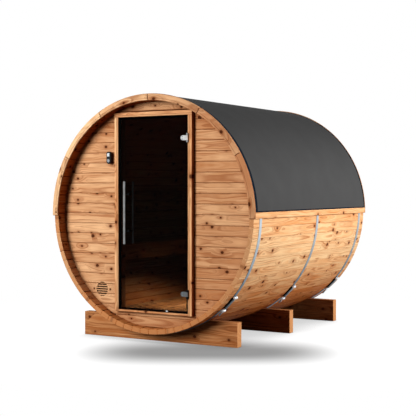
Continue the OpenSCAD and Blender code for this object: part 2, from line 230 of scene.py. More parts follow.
def shade_wood(tree, colour, ends, local, bounced):
    """End-grain colour, which on the cradles is paler as painted light; painted shade on the
    underside and in joints, corners and crevices; and darker bounced light.
    """
    normal = add(tree, "SeparateXYZ", {0: add(tree, "NewGeometry").outputs["Normal"]})
    # End faces get their own colour: end grain on the staves, and on the cradles a paler colour,
    # painted light.
    if ends:
        facing = calc(tree, "ABSOLUTE", normal.outputs["xyz".index(ends[0])])
        colour = blend(tree, ramp(tree, facing, 0.8, 0.95, 0.0, 0.65), colour, ends[1])
    # Painted shade: darker on faces that look downward.
    underside_shade = ramp(tree, normal.outputs[2], -0.4, -0.95, 0.0, 0.85)
    colour = blend(tree, underside_shade, colour, UNDERSIDE_SHADE_TINT, "MULTIPLY")
    # Painted shade in joints, corners and crevices, from ambient occlusion.
    opened = add(tree, "AmbientOcclusion", {"Distance": CREVICE_SHADE_REACH}, samples=8,
                 only_local=local).outputs["AO"]
    crevice_shade = blend(tree, ramp(tree, opened, 0.2, 0.95), CREVICE_SHADE_TINT, WHITE)
    colour = blend(tree, 1.0, colour, crevice_shade, "MULTIPLY")
    bounce = add(tree, "LightPath").outputs["Is Diffuse Ray"]
    return blend(tree, bounce, colour, bounced, "MULTIPLY")


def wood(name, pale, deep, line, along=None, knots=0.7, contrast=0.8, wave=0.04,
         curl=1.2, local=False, ends=None, bounced=(0.52, 0.33, 0.21, 1)):
    """Knotty softwood: year rings round a wandering pith, bent round dark knots."""
    mat, tree = material(name)
    place = grain_place(tree, along)
    x, y, z = add(tree, "SeparateXYZ", {0: place}).outputs
    tone = add(tree, "Attribute", attribute_name="tone").outputs["Fac"]

    near, swirl, present = find_knots(tree, x, y, knots)
    core = calc(tree, "MULTIPLY", ramp(tree, near, 0.75, 1.25, 1.0, 0.0), present)
    halo = calc(tree, "MULTIPLY", ramp(tree, near, 0.9, 2.6, 1.0, 0.0), present)
    bend = calc(tree, "MULTIPLY", ramp(tree, swirl, 0.6, 4.0, 1.0, 0.0), present)

    ring = pith_distance(tree, x, y, z, bend, wave, curl)
    broad = noise(tree, vector(tree, times(tree, x, 0.9), times(tree, ring, 34.0), 3.0),
                  1.0, 2.0)
    streak = noise(tree, vector(tree, times(tree, x, 2.2), times(tree, ring, 105.0), 0.0),
                   1.0, 3.0, 0.6)
    pace = calc(tree, "ADD", times(tree, ring, 1 / RING_PITCH), times(tree, broad, 4.0))
    year = calc(tree, "FRACT", pace)
    late = calc(tree, "MULTIPLY", ramp(tree, year, 0.3, 0.85), ramp(tree, year, 1.0, 0.93))
    fibre = noise(tree, vector(tree, times(tree, x, 9.0), times(tree, y, 420.0),
                               times(tree, z, 420.0)), 1.0, 2.0)

    body = calc(tree, "ADD", times(tree, broad, 1.2 * contrast, -0.6 * contrast),
                times(tree, streak, 2.4 * contrast, -1.2 * contrast))
    body = calc(tree, "ADD", tone, body, clamp=True)
    colour = blend(tree, body, pale, deep)
    drawn = calc(tree, "MULTIPLY", late, ramp(tree, streak, 0.35, 0.65, 0.25, 0.8))
    colour = blend(tree, calc(tree, "MULTIPLY", drawn, contrast), colour, line)
    colour = blend(tree, times(tree, ramp(tree, fibre, 0.52, 0.8), 0.3), colour, line)
    colour = blend(tree, times(tree, bend, 0.3), colour, line)
    colour = blend(tree, times(tree, halo, 0.5), colour, line)
    heart = blend(tree, ramp(tree, fibre, 0.3, 0.7), KNOT_DARK, KNOT_LIGHT)
    colour = blend(tree, times(tree, core, 0.95), colour, heart)
    colour = shade_wood(tree, colour, ends, local, bounced)
    height = calc(tree, "SUBTRACT", times(tree, fibre, 0.5), times(tree, late, 0.5))
    return finish_surface(mat, tree, height, 0.0006, 0.6, Base_Color=colour,
                          Roughness=ramp(tree, fibre, 0.3, 0.7, 0.55, 0.67),
                          Specular_IOR_Level=0.02)


def membrane(name, colour, light, top_shade=0.0):
    """A matt roofing sheet with a fine speckle and slow waves, and a painted shade that darkens
    its top by the given amount.
    """
    mat, tree = material(name)
    place = object_place(tree)
    cloud = noise(tree, place, 5.0, 3.0)
    speck = noise(tree, place, 260.0, 2.0)
    shade = calc(tree, "ADD", calc(tree, "MULTIPLY", cloud, 0.5),
                 calc(tree, "MULTIPLY", speck, 0.5), clamp=True)
    height = calc(tree, "ADD", calc(tree, "MULTIPLY", speck, 0.25), cloud)
    level = add(tree, "SeparateXYZ", {0: place}).outputs[2]
    speckled = blend(tree, shade, colour, light)
    # Painted shade: darker towards the top.
    top_shaded = blend(tree, ramp(tree, level, 1.3, 2.12, 0.0, top_shade), speckled, (0, 0, 0, 1))
    return finish_surface(mat, tree, height, 0.0012, 0.5, Base_Color=top_shaded,
                          Roughness=ramp(tree, speck, 0.3, 0.7, 0.62, 0.8),
                          Specular_IOR_Level=0.012)


def metal(name, colour, dark, rough, foot=None):
    """Brushed metal with a faint cloud of wear; foot is where it darkens downward, a painted
    shade low down.
    """
    mat, tree = material(name)
    part = add(tree, "SeparateXYZ", {0: object_place(tree)})
    streaks = (6.0, 6.0, 240.0)
    drawn = noise(tree, vector(tree, *[calc(tree, "MULTIPLY", part.outputs[i], streaks[i])
                                       for i in range(3)]), 1.0, 3.0)
    cloud = noise(tree, object_place(tree), 22.0, 3.0)
    mixed = calc(tree, "MULTIPLY", ramp(tree, cloud, 0.3, 0.75), 0.8)
    # Painted shade: darker low down.
    if foot:
        dimmed = ramp(tree, part.outputs[2], foot[0], foot[1], 1.0, 0.0)
        mixed = calc(tree, "ADD", times(tree, mixed, 0.3), dimmed, clamp=True)
    return finish_surface(mat, tree, drawn, 0.0002, 0.4,
                          Base_Color=blend(tree, mixed, colour, dark),
                          Roughness=ramp(tree, drawn, 0.2, 0.8, rough, rough + 0.15),
                          Metallic=1.0)


def plastic(name, colour, light, rough, shine=0.2):
    """Moulded plastic or rubber with a fine skin texture."""
    mat, tree = material(name)
    skin = noise(tree, object_place(tree), 900.0, 1.0)
    cloud = noise(tree, object_place(tree), 40.0, 2.0)
    return finish_surface(mat, tree, skin, 0.0002, 0.4,
                          Base_Color=blend(tree, ramp(tree, cloud, 0.3, 0.7), colour, light),
                          Roughness=ramp(tree, cloud, 0.3, 0.7, rough, rough + 0.1),
                          Specular_IOR_Level=shine)


def tinted_glass(name):
    """Dark toughened glass that lets some light through and mirrors very little."""
    mat, tree = material(name)
    haze = noise(tree, object_place(tree), 7.0, 2.0)
    return finish_surface(mat, tree,
                          Base_Color=blend(tree, haze, srgb(3, 2, 2), srgb(5, 4, 3)),
                          Roughness=ramp(tree, haze, 0.2, 0.8, 0.02, 0.05),
                          Alpha=0.58, Specular_IOR_Level=0.012)


# ---- mesh building

class Shape:
    """The skin of one piece, with each vertex's place in its own board."""

    def __init__(self, name):
        self.verts = []
        self.faces = []
        self.grain = []
        self.tone = []
        self.random = random.Random(name)

    def add(self, skin, along=Y, across=X, bent=None, tone=None):
        """Adds one closed skin, as a board whose grain runs along, or bent to a place."""
        verts, faces = skin
        base = len(self.verts)
        depth = along.cross(across)
        middle = sum(verts, Vector()) / len(verts)
        run = self.random.uniform(0, 60)
        side = self.random.uniform(-0.045, 0.045)
        pith = self.random.uniform(0.02, 0.09)
        usual = self.random.triangular(0.05, 0.95, 0.4)
        tone = usual if tone is None else tone + 0.6 * (usual - 0.45)
        for v in verts:
            away = v - middle
            local = bent(v) if bent else (v.dot(along), away.dot(across), away.dot(depth))
            self.verts.append(v)
            self.grain.append((local[0] + run, local[1] + side, local[2] + pith))
            self.tone.append(tone)
        self.faces += [tuple(base + i for i in face) for face in faces]


def face_outward(mesh):
    """Turns every face's normal outward."""
    skin = bmesh.new()
    skin.from_mesh(mesh)
    bmesh.ops.recalc_face_normals(skin, faces=skin.faces)
    skin.to_mesh(mesh)
    skin.free()


def round_edges(thing, width):
    """Rounds the sharp edges of an object."""
    rounding = thing.modifiers.new("rounding", "BEVEL")
    rounding.width = width
    rounding.segments = 2
    rounding.limit_method = "ANGLE"
    rounding.angle_limit = math.radians(40)


def piece(name, shape, mat, nodes=(), body="barrel", bevel=0.0):
    """Makes one object of a shape and lets it ride on its body."""
    mesh = bpy.data.meshes.new(name)
    mesh.from_pydata([tuple(v) for v in shape.verts], [], shape.faces)
    grain = mesh.attributes.new("grain", "FLOAT_VECTOR", "POINT")
    grain.data.foreach_set("vector", [c for place in shape.grain for c in place])
    tone = mesh.attributes.new("tone", "FLOAT", "POINT")
    tone.data.foreach_set("value", shape.tone)
    face_outward(mesh)
    mesh.polygons.foreach_set("use_smooth", [True] * len(mesh.polygons))
    mesh.set_sharp_from_angle(angle=math.radians(35))
    mesh.materials.append(mat)
    made = bpy.data.objects.new(name, mesh)
    bpy.context.scene.collection.objects.link(made)
    if bevel:
        round_edges(made, bevel)
    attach(made, body)
    if nodes:
        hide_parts(*nodes)
    return made


def paint(node, mat, bevel=0.0):
    """Gives a CAD node its finish."""
    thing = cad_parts[node]
    thing.data.materials.clear()
    thing.data.materials.append(mat)
    if bevel:
        round_edges(thing, bevel)


def loft(rings, closed=False):
    """Joins a row of equal rings of points into one skin."""
    count = len(rings[0])
    verts = [Vector(p) for ring in rings for p in ring]
    faces = []
    last = len(rings) if closed else len(rings) - 1
    for i in range(last):
        a = i * count
        b = (i + 1) % len(rings) * count
        for j in range(count):
            k = (j + 1) % count
            faces.append((a + j, a + k, b + k, b + j))
    if not closed:
        faces.append(tuple(range(count))[::-1])
        faces.append(tuple(len(verts) - count + j for j in range(count)))
    return verts, faces


def octagon(a0, a1, b0, b1, cut):
    """A rectangle with its four corners cut off."""
    return [(a0 + cut, b0), (a1 - cut, b0), (a1, b0 + cut), (a1, b1 - cut),
            (a1 - cut, b1), (a0 + cut, b1), (a0, b1 - cut), (a0, b0 + cut)]


def plank(lo, hi, axis, cut=0.002):
    """A board between two corners, its edges eased, running along an axis."""
    lo = Vector(lo)
    hi = Vector(hi)
    n = "xyz".index(axis)
    a, b = [i for i in range(3) if i != n]
    rings = []
    for t, shrink in ((lo[n], cut), (lo[n] + cut, 0), (hi[n] - cut, 0), (hi[n], cut)):
        ring = []
        for p, q in octagon(lo[a] + shrink, hi[a] - shrink, lo[b] + shrink,
                            hi[b] - shrink, cut):
            point = Vector()
            point[n] = t
            point[a] = p
            point[b] = q
            ring.append(point)
        rings.append(ring)
    return loft(rings)


def turned(profile, origin, axis, steps):
    """A lathe-turned solid; the profile lists (radius, distance along the axis)."""
    axis = Vector(axis).normalized()
    side = axis.orthogonal().normalized()
    other = axis.cross(side)
    origin = Vector(origin)
    return loft([[origin + axis * t + r * (side * math.cos(math.tau * i / steps)
                                           + other * math.sin(math.tau * i / steps))
                  for i in range(steps)] for r, t in profile])


def round_bar(r, length, cut):
    """The profile of a bar with eased ends."""
    return [(r - cut, 0), (r, cut), (r, length - cut), (r - cut, length)]


def around(r, angle, y):
    """A point at a radius and angle about the barrel's axis; angle 0 is +X."""
    return Vector((r * math.cos(angle), y, AXIS_Z + r * math.sin(angle)))


def outward(angle):
    """The direction away from the barrel's axis."""
    return Vector((math.cos(angle), 0, math.sin(angle)))


def onward(angle):
    """The direction round the barrel."""
    return Vector((-math.sin(angle), 0, math.cos(angle)))


def sector(r0, r1, y0, y1, a0, a1, steps, cut):
    """A curved bar of a rectangular section about the barrel's axis."""
    section = octagon(r0, r1, y0, y1, cut)
    return loft([[around(r, a0 + (a1 - a0) * i / steps, y) for r, y in section]
                 for i in range(steps + 1)])


# ---- barrel

# Each groove between two staves: half its width, and its depth
OUT_GROOVE = (0.0013, 0.0034)
IN_GROOVE = (0.0042, 0.0060)
STAVE_END_CUT = 0.004


def stave_ring(y, middle, ease, narrow=0.0):
    """One stave's outline across the barrel, with grooved joints."""
    half = STAVE_STEP / 2
    wide_out = STAVE_R * math.sin(half)
    wide_in = INNER_R * math.sin(half)
    flat_out = STAVE_R * math.cos(half) - ease
    flat_in = INNER_R * math.cos(half) + ease
    lean = math.tan(half)
    points = [(wide_out - OUT_GROOVE[0] - ease - narrow, flat_out),
              ((flat_out - OUT_GROOVE[1]) * lean - narrow, flat_out - OUT_GROOVE[1]),
              ((flat_in + IN_GROOVE[1]) * lean - narrow, flat_in + IN_GROOVE[1]),
              (wide_in - IN_GROOVE[0] - ease - narrow, flat_in)]
    points += [(-t, r) for t, r in reversed(points)]
    return [Vector((0, y, AXIS_Z)) + outward(middle) * r + onward(middle) * t
            for t, r in points]


def stave_shade_tone(drop):
    """How deep a stave's colour is, as painted light and shade: palest a little below the
    barrel's side, where most light falls, and deeper above that and towards the bottom; drop is
    0 at the barrel's side, 1 at its bottom.
    """
    return (0.04 + 1.4 * max(0.0, 0.32 - drop) + 1.9 * max(0.0, drop - 0.38)
            + 0.6 * max(0.0, drop - 0.66))


def staves(mat):
    per_node = STAVE_COUNT // len(STAVE_NODES)
    ease = 0.0012
    for n, node in enumerate(STAVE_NODES):
        shape = Shape(node)
        for i in range(n * per_node, (n + 1) * per_node):
            middle = (i + 0.5) * STAVE_STEP
            rings = [stave_ring(-END_Y, middle, ease, STAVE_END_CUT),
                     stave_ring(-END_Y + STAVE_END_CUT, middle, 0),
                     stave_ring(END_Y - STAVE_END_CUT, middle, 0),
                     stave_ring(END_Y, middle, ease, STAVE_END_CUT)]
            shape.add(loft(rings), Y, onward(middle), tone=stave_shade_tone(-math.sin(middle)))
        piece(node + "_boards", shape, mat, [node])


def arch_bar(r0, r1, face, back, a0, a1, steps):
    """A curved bar with eased edges and a fine groove near its inner edge."""
    way = 1 if back > face else -1
    cut = 0.003
    groove = r0 + (r1 - r0) * 0.3
    nick = 0.0022
    section = [(r0, face + way * cut), (r0 + cut, face), (groove - nick, face),
               (groove, face + way * nick), (groove + nick, face),
               (r1 - 2.4 * cut, face), (r1 - 2 * cut, face + way * 0.1 * cut),
               (r1 - cut * 0.2, face + way * 2.2 * cut), (r1, face + way * 2.6 * cut),
               (r1, back), (r0, back)]
    chamfer = 0.0045
    turn = chamfer / r1
    stops = [(a0, chamfer), (a0 + turn, 0.0)]
    stops += [(a0 + (a1 - a0) * i / steps, 0.0) for i in range(1, steps)]
    stops += [(a1 - turn, 0.0), (a1, chamfer)]
    rings = []
    for a, ease in stops:
        rings.append([around(r, a, y if y == back else y + way * ease) for r, y in section])
    return loft(rings)


def along_arch(v):
    """A vertex's place in a plank whose grain follows the arch."""
    flat = Vector((v.x, v.z - AXIS_Z))
    return math.atan2(flat.y, flat.x) * STAVE_R, flat.length - INNER_R + 0.02, v.y - END_Y


# How deep the colour of each plank is, from the arch's right foot to its left one: deeper
# towards the right, painted shade where less light falls
ARCH_SHADE_TONES = (0.95, 0.8, 0.5, 0.4, -0.1, -0.05)


def arches(mat):
    top = high("front_arch").z - AXIS_Z
    drop = AXIS_Z - low("front_arch").z
    planks = len(ARCH_SHADE_TONES)
    step = math.pi / planks
    half_gap = 0.001 / top
    for node in ("front_arch", "rear_arch"):
        shape = Shape(node)
        y0 = low(node).y
        y1 = high(node).y
        for k in range(planks):
            first = -math.asin(drop / top) if k == 0 else k * step + half_gap
            last = (math.pi + math.asin(drop / top) if k == planks - 1
                    else (k + 1) * step - half_gap)
            face, back = (y0, y1) if node == "front_arch" else (y1, y0)
            shape.add(arch_bar(INNER_R + 0.0005, top - 0.0002, face, back, first, last, 24),
                      bent=along_arch, tone=ARCH_SHADE_TONES[k])
        piece(node + "_planks", shape, mat, [node])


FRONT_STRIP = 0.050
EDGE_STRIP = 0.011


def roofing(mat, edge_mat):
    r0 = high("band_front").x
    r1 = high("roofing").z - AXIS_Z
    start = math.asin((low("roofing").z - AXIS_Z) / r1)
    sheet = Shape("roofing")
    sheet.add(sector(r0 + 0.0003, r1 - 0.0005, -END_Y + 0.003, END_Y - 0.003, start,
                     math.pi - start, 120, 0.001))
    piece("roofing_sheet", sheet, mat, ["roofing"])
    strip = Shape("roofing_edge")
    for y0, y1 in ((-END_Y, FRONT_STRIP - END_Y), (END_Y - EDGE_STRIP, END_Y)):
        strip.add(sector(r1 - 0.001, r1 + 0.0006, y0 + 0.0005, y1 - 0.0005, start,
                         math.pi - start, 120, 0.0005))
    for a in (start, math.pi - start - EDGE_STRIP / r1):
        strip.add(sector(r1 - 0.001, r1 + 0.0006, -END_Y + 0.001, END_Y - 0.001, a,
                         a + EDGE_STRIP / r1, 3, 0.0005))
    piece("roofing_edge", strip, edge_mat)


def battens(mat):
    r_in = high("band_front").x + 0.0002
    for side, node in ((1, "batten_right"), (-1, "batten_left")):
        shape = Shape(node)
        z0 = low(node).z
        z1 = high(node).z
        x1 = high("batten_right").x
        cut = 0.0025
        rings = []
        for y, ease in ((-END_Y, 0.001), (-END_Y + 0.001, 0), (END_Y - 0.001, 0),
                        (END_Y, 0.001)):
            outer = [(x1 - ease - cut, z0 + ease), (x1 - ease, z0 + cut + ease),
                     (x1 - ease, z1 - cut - ease), (x1 - ease - cut, z1 - ease)]
            inner = []
            for i in range(7):
                z = z1 - ease + (z0 - z1 + 2 * ease) * i / 6
                inner.append((math.sqrt(r_in ** 2 - (z - AXIS_Z) ** 2), z))
            rings.append([Vector((side * x, y, z)) for x, z in outer + inner])
        shape.add(loft(rings), Y, Z, tone=0.3)
        piece(node + "_board", shape, mat, [node])


# ---- walls

def wall_edge(z):
    """Half the width of the round wall at a height."""
    return math.sqrt(max(WALL_R ** 2 - (z - AXIS_Z) ** 2, 0.0))


def between(value, start, end):
    """0 before the start, 1 past the end, and a straight run between them."""
    return min(max((value - start) / (end - start), 0.0), 1.0)


def wall_boards(shape, z0, z1, left, right, outer, inner, tone):
    """Level boards between two heights; left and right give the ends at a height."""
    first = math.floor((z0 - BOARD_LINE) / BOARD_PITCH)
    last = math.ceil((z1 - BOARD_LINE) / BOARD_PITCH)
    inward = 1 if outer < inner else -1
    lap = 0.0006
    cut_low = 0.006
    cut_high = 0.003
    least = 0.004
    steps = 6
    for k in range(first, last):
        bottom = max(BOARD_LINE + k * BOARD_PITCH + lap, z0)
        top = min(BOARD_LINE + (k + 1) * BOARD_PITCH - lap, z1)
        if top - bottom < 2 * (cut_low + cut_high):
            continue
        flat = top - bottom - cut_low - cut_high
        rows = [(bottom, inward * cut_low * 0.75)]
        rows += [(bottom + cut_low + flat * i / steps, 0) for i in range(steps + 1)]
        rows.append((top, inward * cut_high))
        rings = []
        for z, back in rows:
            x0 = left(z)
            x1 = right(z)
            if x1 - x0 < least:
                continue
            rings.append([(x0, outer + back, z), (x1, outer + back, z),
                          (x1, inner - back * 0.5, z), (x0, inner - back * 0.5, z)])
        if len(rings) > 1:
            shape.add(loft(rings), X, Z, tone=tone((bottom + top) / 2))


def front_wall(mat):
    low_z = AXIS_Z - WALL_R
    high_z = AXIS_Z + WALL_R

    def rim(side):
        return lambda z: side * wall_edge(z)

    def at(x):
        return lambda z: max(min(x, wall_edge(z)), -wall_edge(z))

    # The boards' tones paint light and shade: the left wall deepens towards its top, painted
    # shadow below the arch; the right wall deepens low down and high up, painted shade; the
    # boards over the door are paler, painted light.
    def left_shade_tone(z):
        return 0.34 + 0.4 * between(z, 1.35, 1.75)

    def right_shade_tone(z):
        return 0.42 + 0.35 * between(z, 1.0, 0.75) + 0.15 * between(z, 1.25, 1.5)

    parts = {"front_wall_left": (low_z, high_z, rim(-1), at(-JAMB_OUT), left_shade_tone),
             "front_wall_right": (low_z, high_z, at(JAMB_OUT), rim(1), right_shade_tone),
             "front_wall_top": (HEAD_OUT, high_z, at(-JAMB_OUT), at(JAMB_OUT), lambda z: -0.2),
             "front_wall_bottom": (low_z, SILL_OUT, at(-JAMB_OUT), at(JAMB_OUT), lambda z: 0.5)}
    for node, (z0, z1, left, right, tone) in parts.items():
        shape = Shape(node)
        wall_boards(shape, z0, z1, left, right, WALL_OUT_Y, WALL_IN_Y, tone)
        made = piece(node + "_boards", shape, mat, [node])
        if node == "front_wall_left":
            cut_vent(made)


def rear_wall(mat):
    shape = Shape("rear_wall")
    wall_boards(shape, AXIS_Z - WALL_R, AXIS_Z + WALL_R, lambda z: -wall_edge(z),
                lambda z: wall_edge(z), high("rear_wall").y, low("rear_wall").y,
                lambda z: 0.4)
    piece("rear_wall_boards", shape, mat, ["rear_wall"])


VENT_X = (low("vent_shutter").x + high("vent_shutter").x) / 2
VENT_Z = (low("vent_shutter").z + high("vent_shutter").z) / 2
VENT_R = 0.064
SLOT_H = 0.011
SLOT_PITCH = 0.0205
SLOT_COUNT = 7


def cut_vent(wall):
    """Cuts the vent's level slots and the round recess behind them."""
    cutter = Shape("vent")
    face = low("vent_shutter").y
    for i in range(SLOT_COUNT):
        middle = (i - (SLOT_COUNT - 1) / 2) * SLOT_PITCH
        start = max(middle - SLOT_H / 2, 0.0005 - VENT_R)
        end = min(middle + SLOT_H / 2, VENT_R - 0.0005)
        rows = [start + (end - start) * j / 4 for j in range(5)]
        rings = []
        for dz in rows:
            half = math.sqrt(VENT_R ** 2 - dz ** 2)
            rings.append([(VENT_X - half, WALL_OUT_Y - 0.01, VENT_Z + dz),
                          (VENT_X + half, WALL_OUT_Y - 0.01, VENT_Z + dz),
                          (VENT_X + half, face + 0.001, VENT_Z + dz),
                          (VENT_X - half, face + 0.001, VENT_Z + dz)])
        cutter.add(loft(rings))
    recess_r = (high("vent_shutter").x - low("vent_shutter").x) / 2 + 0.0005
    cutter.add(turned([(recess_r, 0), (recess_r, 0.05)], (VENT_X, face, VENT_Z), Y, 64))
    tool = bpy.data.objects.new("cutter", bpy.data.meshes.new("cutter"))
    tool.data.from_pydata([tuple(v) for v in cutter.verts], [], cutter.faces)
    bpy.context.scene.collection.objects.link(tool)
    face_outward(tool.data)
    cut = wall.modifiers.new("vent", "BOOLEAN")
    cut.object = tool
    cut.solver = "EXACT"
    cut.use_self = True
    view = bpy.context.evaluated_depsgraph_get()
    carved = bpy.data.meshes.new_from_object(wall.evaluated_get(view))
    wall.modifiers.clear()
    wall.data = carved
    bpy.data.objects.remove(tool)


# ---- door frame

# Across the frame's face: distance from the opening, depth behind the face
FACE_PROFILE = [(0.0, 0.003), (0.0012, 0.0008), (0.0035, 0.0), (0.0095, 0.0),
                (0.0115, 0.0012), (0.0125, 0.0045), (0.0145, 0.0045), (0.0155, 0.0008),
                (0.0175, 0.0), (0.0370, 0.0), (0.0392, 0.0008), (0.0400, 0.0030)]


# The stops behind the glass: how far they reach into the opening, and their ends
STOP_REACH = 0.022
STOP_END = 0.023


def frame_bar(start, end, out, depth, width):
    """A frame bar from start to end; out points away from the opening."""
    scale = min(width / FACE_PROFILE[-1][0], 1.0)
    points = [(d * scale, y) for d, y in FACE_PROFILE]
    points += [(points[-1][0], depth), (0.0, depth)]
    return loft([[at + out * d + Y * y for d, y in points] for at in (start, end)])


def door_frame(mat):
    depth = WALL_IN_Y - FRAME_Y
    width = JAMB_OUT - JAMB_IN
    for side, node in ((1, "door_jamb_right"), (-1, "door_jamb_left")):
        shape = Shape(node)
        foot = Vector((side * JAMB_IN, FRAME_Y, SILL_OUT))
        shape.add(frame_bar(foot, Vector((side * JAMB_IN, FRAME_Y, HEAD_IN)),
                            X * side, depth, width), Z, X, tone=0.38 - 0.1 * side)
        x0, x1 = sorted((side * (JAMB_IN - STOP_REACH), side * (JAMB_IN - 0.0005)))
        shape.add(plank((x0, STOP_Y, SILL_IN), (x1, WALL_IN_Y, HEAD_IN), "z"), Z, X)
        piece(node + "_bar", shape, mat, [node])
    shape = Shape("door_head")
    shape.add(frame_bar(Vector((-JAMB_OUT, FRAME_Y, HEAD_IN)),
                        Vector((JAMB_OUT, FRAME_Y, HEAD_IN)), Z, depth, width), X, Z,
              tone=0.6)
    shape.add(plank((STOP_END - JAMB_IN, STOP_Y, HEAD_IN - STOP_REACH),
                    (JAMB_IN - STOP_END, WALL_IN_Y, HEAD_IN - 0.0005), "x"), X, Z)
    piece("door_head_bar", shape, mat, ["door_head"])
    shape = Shape("door_sill")
    shape.add(plank((0.0003 - JAMB_IN, FRAME_Y, SILL_OUT),
                    (JAMB_IN - 0.0003, WALL_IN_Y, SILL_IN), "x", 0.0025), X, Z, tone=0.75)
    shape.add(plank((STOP_END - JAMB_IN, STOP_Y, SILL_IN + 0.0003),
                    (JAMB_IN - STOP_END, WALL_IN_Y, SILL_IN + 0.018), "x"), X, Z)
    piece("door_sill_bar", shape, mat, ["door_sill"])


def door_seal(mat):
    """A thin black seal on the stops, all round behind the glass; its black also paints the
    shade in the gap round the glass.
    """
    shape = Shape("door_seal")
    thick = 0.002
    y0 = STOP_Y - thick
    x_in = JAMB_IN - 0.021
    z_low = SILL_IN + 0.002
    z_high = HEAD_IN - 0.001
    for side in (-1, 1):
        x0, x1 = sorted((side * x_in, side * (JAMB_IN - 0.001)))
        shape.add(plank((x0, y0, z_low), (x1, STOP_Y, z_high), "z", 0.0006))
    for z0, z1 in ((z_low, z_low + 0.015), (z_high - 0.020, z_high)):
        shape.add(plank((-x_in, y0, z0), (x_in, STOP_Y, z1), "x", 0.0006))
    piece("door_seal", shape, mat)


# ---- door

POST_SPREAD = 0.161


def door_handle(mat, post_mat):
    lo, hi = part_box("door_handle")
    r = (hi.x - lo.x) / 2
    x = (lo.x + hi.x) / 2
    shape = Shape("door_handle")
    glass_lo, glass_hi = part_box("door_glass")
    for y in (lo.y + r, hi.y - r):
        length = hi.z - lo.z
        profile = [(r - 0.003, 0.0), (r - 0.0026, 0.0012), (r - 0.0012, 0.0012), (r, 0.0025),
                   (r, length - 0.0025), (r - 0.0012, length - 0.0012),
                   (r - 0.0026, length - 0.0012), (r - 0.003, length)]
        shape.add(turned(profile, (x, y, lo.z), Z, 32))
    piece("door_handle_bars", shape, mat, ["door_handle"], body="door")
    posts = Shape("door_handle_posts")
    middle = (lo.z + hi.z) / 2
    for z in (middle - POST_SPREAD, middle + POST_SPREAD):
        for start, way in ((glass_lo.y, -1), (glass_hi.y, 1)):
            reach = abs((lo.y + r if way < 0 else hi.y - r) - start)
            profile = [(0.0085, 0.0), (0.009, 0.0008), (0.009, 0.002), (0.0075, 0.003),
                       (0.0052, 0.003), (0.005, 0.004), (0.005, reach - 0.005)]
            posts.add(turned(profile, (x, start, z), Y * way, 24))
    piece("door_handle_posts", posts, post_mat, body="door")


# The hinges: half a bracket's height, its outer plate, and the place of the bolt caps
HINGE_HALF = 0.038
PLATE_THICK = 0.005
CAP_IN = 0.017
CAP_SPREAD = 0.011


def hinge_caps(mat):
    """Two bolt caps on the outer plate of each clamp."""
    lo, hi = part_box("hinge_brackets")
    shape = Shape("hinge_caps")
    x = low("hinge_clamps").x + CAP_IN
    plate_y = low("door_glass").y - PLATE_THICK
    profile = [(0.0052, 0.0), (0.0052, 0.0012), (0.0042, 0.0022), (0.0022, 0.0022),
               (0.0020, 0.0008)]
    for z in (lo.z + HINGE_HALF, hi.z - HINGE_HALF):
        for dz in (-CAP_SPREAD, CAP_SPREAD):
            shape.add(turned(profile, (x, plate_y, z + dz), -Y, 20))
    piece("hinge_caps", shape, mat, body="door")


# ---- interior

def board_row(node, count, gap, cut):
    """Boards side by side that fill a node's box, with open joints."""
    lo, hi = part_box(node)
    shape = Shape(node)
    width = (hi.x - lo.x + gap) / count
    for i in range(count):
        x = lo.x + i * width
        shape.add(plank((x, lo.y, lo.z), (x + width - gap, hi.y, hi.z), "y", cut), Y, X)
    return shape


def floor_boards(mat):
    boards = board_row("floor", count=10, gap=0.007, cut=0.002)
    piece("floor_boards", boards, mat, ["floor"])


def bench(mat):
    boards = board_row("bench_seat", count=4, gap=0.010, cut=0.004)
    piece("bench_seat_boards", boards, mat, ["bench_seat"])
    shape = Shape("bench_front_board")
    lo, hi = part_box("bench_front_board")
    shape.add(plank(lo, hi, "y", 0.004), Y, Z)
    piece("bench_front_plank", shape, mat, ["bench_front_board"])


def backrest(mat):
    lo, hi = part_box("backrest")
    shape = Shape("backrest")
    slat_h = 0.090
    gap = 0.015
    thick = 0.022
    post = 0.045
    for i in range(3):
        z = lo.z + i * (slat_h + gap)
        shape.add(plank((hi.x - thick, lo.y, z), (hi.x, hi.y, z + slat_h), "y", 0.005), Y, Z)
    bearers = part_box("bench_bearers")
    for y in (bearers[0].y, -post / 2, bearers[1].y - post):
        rows = []
        for z in (lo.z, (lo.z + hi.z) / 2, hi.z):
            x = -math.sqrt(WALL_R ** 2 - (z - AXIS_Z) ** 2)
            rows.append([(x, y, z), (hi.x - thick, y, z), (hi.x - thick, y + post, z),
                         (x, y + post, z)])
        shape.add(loft(rows), Z, X)
    piece("backrest_slats", shape, mat, ["backrest"])


# ---- bands and cradles

# Where the bands are drawn together: its angle, and the lugs' place on either side of it
TENSION = math.radians(-45)
LUG_ANGLE = math.radians(4.4)
LUG_R = 0.012
LUG_C = STAVE_R + 0.0153
BAND_THICK = 0.0022
BANDS = ("band_front", "band_middle", "band_rear")


def band(node, mat, loop_mat):
    """A flat band round the barrel, with a loop round the lug at each end."""
    lo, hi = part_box(node)
    shape = Shape(node)
    loops = Shape(node + "_loops")
    r = STAVE_R + 0.0004
    start = TENSION + LUG_ANGLE
    end = TENSION - LUG_ANGLE + math.tau
    shape.add(sector(r, r + BAND_THICK, lo.y, hi.y, start, end, 160, 0.0006))
    for angle in (start, end):
        centre = around(LUG_C, angle, 0)
        section = octagon(LUG_R - BAND_THICK, LUG_R, lo.y, hi.y, 0.0006)
        steps = 20
        rings = [[Vector((centre.x, y, centre.z)) + outward(math.tau * i / steps) * d
                  for d, y in section] for i in range(steps)]
        loops.add(loft(rings, closed=True))
    piece(node + "_strip", shape, mat, [node])
    piece(node + "_loops", loops, loop_mat)


def threaded(r, length):
    """The profile of a threaded rod."""
    pitch = 0.0025
    profile = [(r * 0.7, 0)]
    for i in range(int(length / pitch)):
        profile += [(r * 0.84, i * pitch + 0.0004), (r, (i + 0.5) * pitch)]
    return profile + [(r * 0.7, length)]


